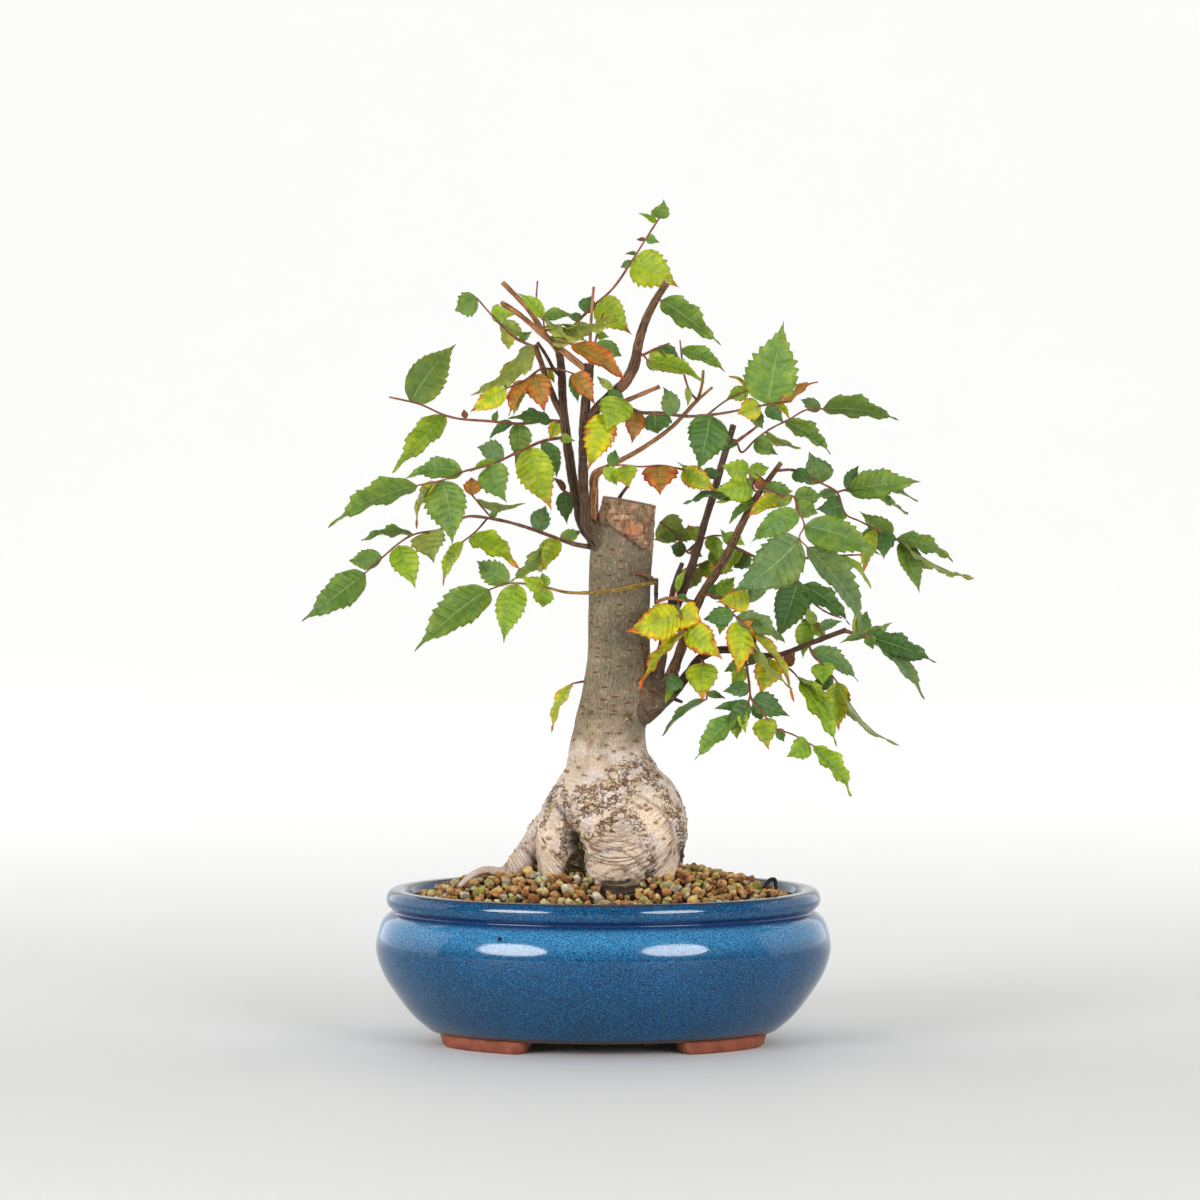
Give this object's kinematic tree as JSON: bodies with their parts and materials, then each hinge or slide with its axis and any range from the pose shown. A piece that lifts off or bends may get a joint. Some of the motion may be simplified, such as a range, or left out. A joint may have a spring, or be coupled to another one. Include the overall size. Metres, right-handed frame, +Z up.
{
  "type": "potted bonsai tree",
  "caption": "Small deciduous bonsai with a swollen root base, a sawn-off trunk and airy leafy stems, planted in an oval glazed pot on feet.",
  "frame": {"origin": "middle of the bounding box seen from above, on the surface that the pot's feet stand on; the tree leans out further to the right, so the pot's centre lies left of the origin", "axes": "+Z up along the trunk, +X to the right along the pot's length as seen from the front, +Y away from the front"},
  "size_m": [0.2978, 0.1686, 0.3722],
  "materials": {
    "pot_glaze": "glossy mottled blue glaze, bare terracotta feet",
    "screen": "matte",
    "soil": "baked clay granules",
    "wire": "black anodised",
    "bark": "rough bark",
    "leaf_dark_green": "leaves with their twigs, satin",
    "leaf_green": "leaves with their twigs, satin",
    "leaf_pale_green": "leaves with their twigs, satin",
    "leaf_yellow_green": "leaves with their twigs, satin"
  },
  "bodies": {
    "root": {"pot": "pot_glaze", "drain_screen_left": "screen", "drain_screen_right": "screen", "soil": "soil", "tie_wire": "wire", "trunk": "bark", "shoot_left_low": "leaf_green", "shoot_left_mid": "leaf_green", "shoot_left_upper": "leaf_green", "shoot_front_low": "leaf_yellow_green", "shoot_top_left": "leaf_green", "shoot_crown_left": "leaf_yellow_green", "shoot_crown_mid": "leaf_pale_green", "shoot_middle_top": "leaf_green", "shoot_top": "leaf_yellow_green", "shoot_curved_right": "leaf_yellow_green", "shoot_curved_top": "leaf_green", "shoot_centre": "leaf_yellow_green", "shoot_inner_end": "leaf_green", "shoot_long_right": "leaf_green", "shoot_stem_left": "leaf_yellow_green", "shoot_stem_top": "leaf_green", "shoot_behind_stump": "leaf_green", "shoot_inner_mid": "leaf_yellow_green", "shoot_second_top": "leaf_yellow_green", "shoot_right_high": "leaf_dark_green", "shoot_front_yellow": "leaf_yellow_green", "shoot_second_low": "leaf_yellow_green", "shoot_second_mid": "leaf_dark_green", "shoot_third_end": "leaf_dark_green", "shoot_third_under": "leaf_yellow_green", "shoot_third_up": "leaf_yellow_green", "shoot_third_middle": "leaf_yellow_green", "shoot_bottom": "leaf_green", "shoot_knot_right": "leaf_yellow_green", "shoot_knot": "leaf_green", "shoot_trunk_leaf": "leaf_yellow_green", "shoot_left_stem": "leaf_dark_green"}
  },
  "joints": []
}
